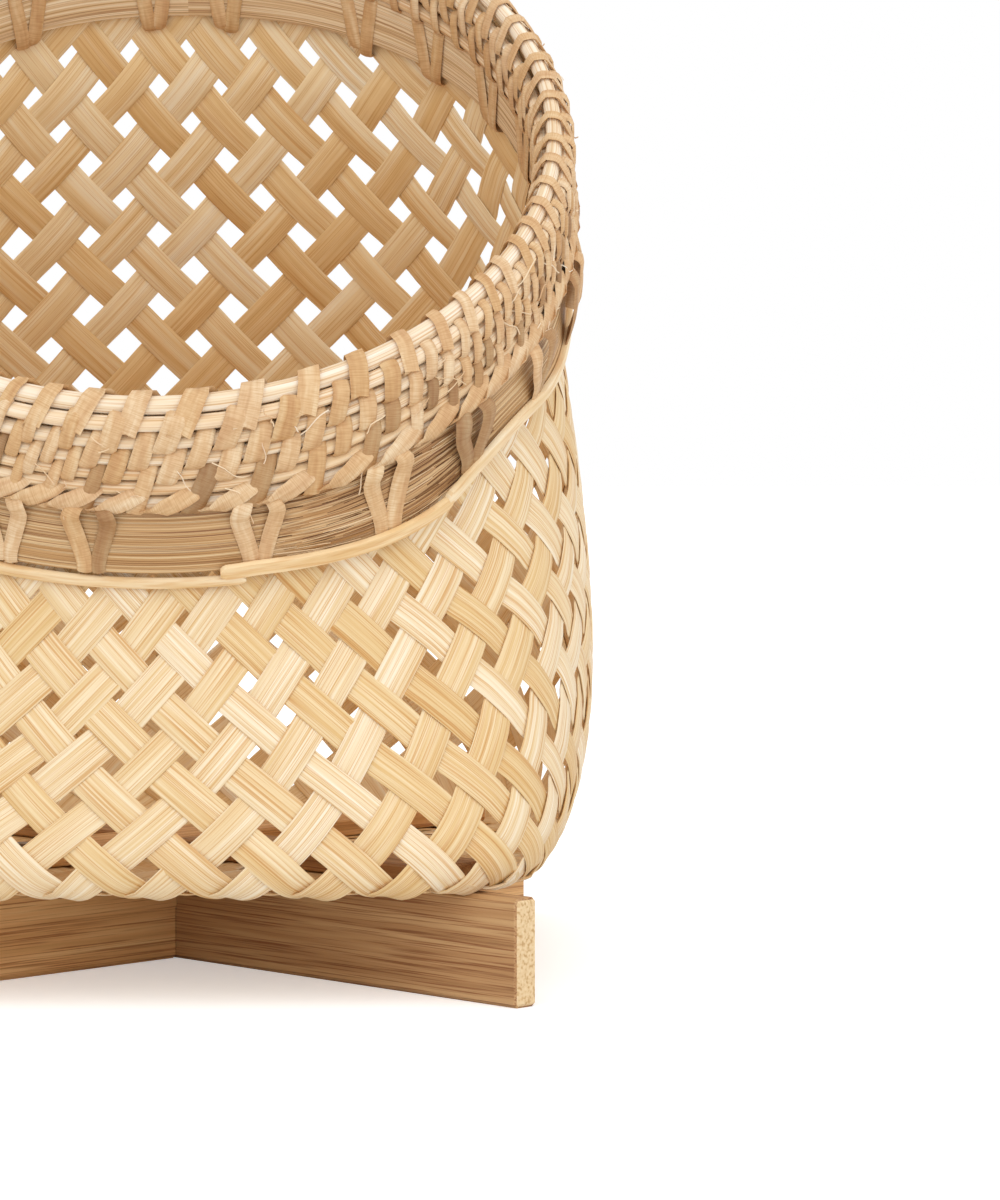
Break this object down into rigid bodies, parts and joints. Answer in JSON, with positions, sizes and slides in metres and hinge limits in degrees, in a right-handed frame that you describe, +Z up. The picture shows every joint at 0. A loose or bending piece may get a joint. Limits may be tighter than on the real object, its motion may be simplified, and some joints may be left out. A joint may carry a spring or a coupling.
{
  "type": "bamboo basket",
  "caption": "Woven bamboo basket with a rounded square bottom on a cross of slats, a round slanted mouth, a braided reed rim and a lashed bamboo hoop.",
  "frame": {"origin": "on the floor, under the crossing of the two foot slats", "axes": "+Z up, -Y towards the low side of the slanted mouth, +X to the right when the low side is in front"},
  "size_m": [0.2568, 0.2438, 0.3337],
  "materials": {
    "bamboo_strips": "bare bamboo strip, satin",
    "split_bamboo": "bare split bamboo, matt with long fibres",
    "bamboo_slats": "bare bamboo slat, matt with long fibres",
    "rattan_core": "bare round rattan, matt",
    "cane": "flat cane, satin",
    "nail_steel": "dull wire nail"
  },
  "bodies": {
    "root": {"woven_body": "bamboo_strips", "foot_slat_right": "bamboo_slats", "foot_slat_left": "bamboo_slats", "floor_slat_right": "bamboo_slats", "floor_slat_left": "bamboo_slats", "outer_hoop": "split_bamboo", "inner_hoop": "split_bamboo", "bead_strip": "cane", "rim_reed_top": "rattan_core", "rim_reed_outer_1": "rattan_core", "rim_reed_outer_2": "rattan_core", "rim_reed_outer_3": "rattan_core", "rim_reed_outer_4": "rattan_core", "rim_reed_outer_5": "rattan_core", "rim_reed_outer_6": "rattan_core", "rim_reed_inner_1": "rattan_core", "rim_reed_inner_2": "rattan_core", "rim_reed_inner_3": "rattan_core", "lashing_01": "cane", "lashing_02": "cane", "lashing_03": "cane", "lashing_04": "cane", "lashing_05": "cane", "lashing_06": "cane", "lashing_07": "cane", "lashing_08": "cane", "lashing_09": "cane", "lashing_10": "cane", "lashing_11": "cane", "lashing_12": "cane", "lashing_13": "cane", "lashing_14": "cane", "lashing_15": "cane", "lashing_16": "cane", "lashing_17": "cane", "lashing_18": "cane", "lashing_19": "cane", "lashing_20": "cane", "lashing_21": "cane", "lashing_22": "cane", "floor_nail_1": "nail_steel", "floor_nail_2": "nail_steel", "floor_nail_3": "nail_steel", "floor_nail_4": "nail_steel"}
  },
  "joints": []
}
